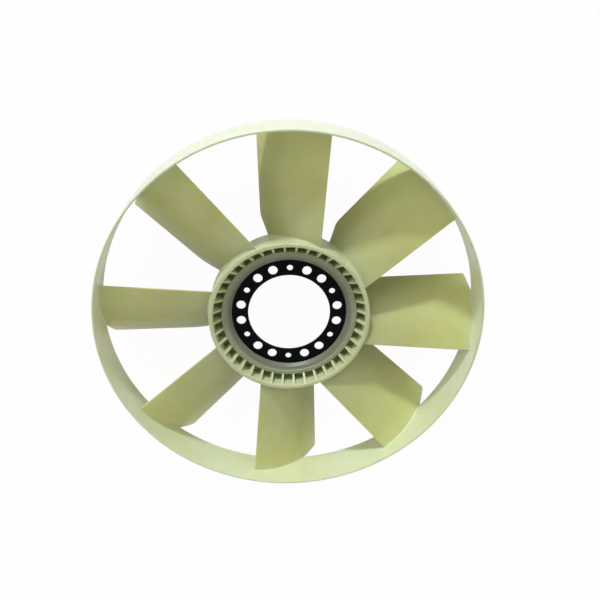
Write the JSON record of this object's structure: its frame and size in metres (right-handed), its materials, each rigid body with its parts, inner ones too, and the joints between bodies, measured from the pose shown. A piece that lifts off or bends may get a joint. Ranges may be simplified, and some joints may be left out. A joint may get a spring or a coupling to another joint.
{
  "type": "axial fan impeller",
  "caption": "Ring-shrouded axial fan impeller: a one-piece nylon moulding of hub, pitched blades and outer ring round a bolted steel hub plate.",
  "frame": {"origin": "on the axis of rotation, at the front face of the steel hub plate", "axes": "+Z along the axis of rotation, out of the front of the fan; +Y through the middle of a blade and a small hole"},
  "size_m": [0.692, 0.692, 0.1066],
  "materials": {
    "natural_nylon": "satin, slightly translucent",
    "black_coated_steel": "satin black coating"
  },
  "bodies": {
    "root": {"fan_moulding": "natural_nylon", "hub_insert_plate": "black_coated_steel"}
  },
  "joints": []
}
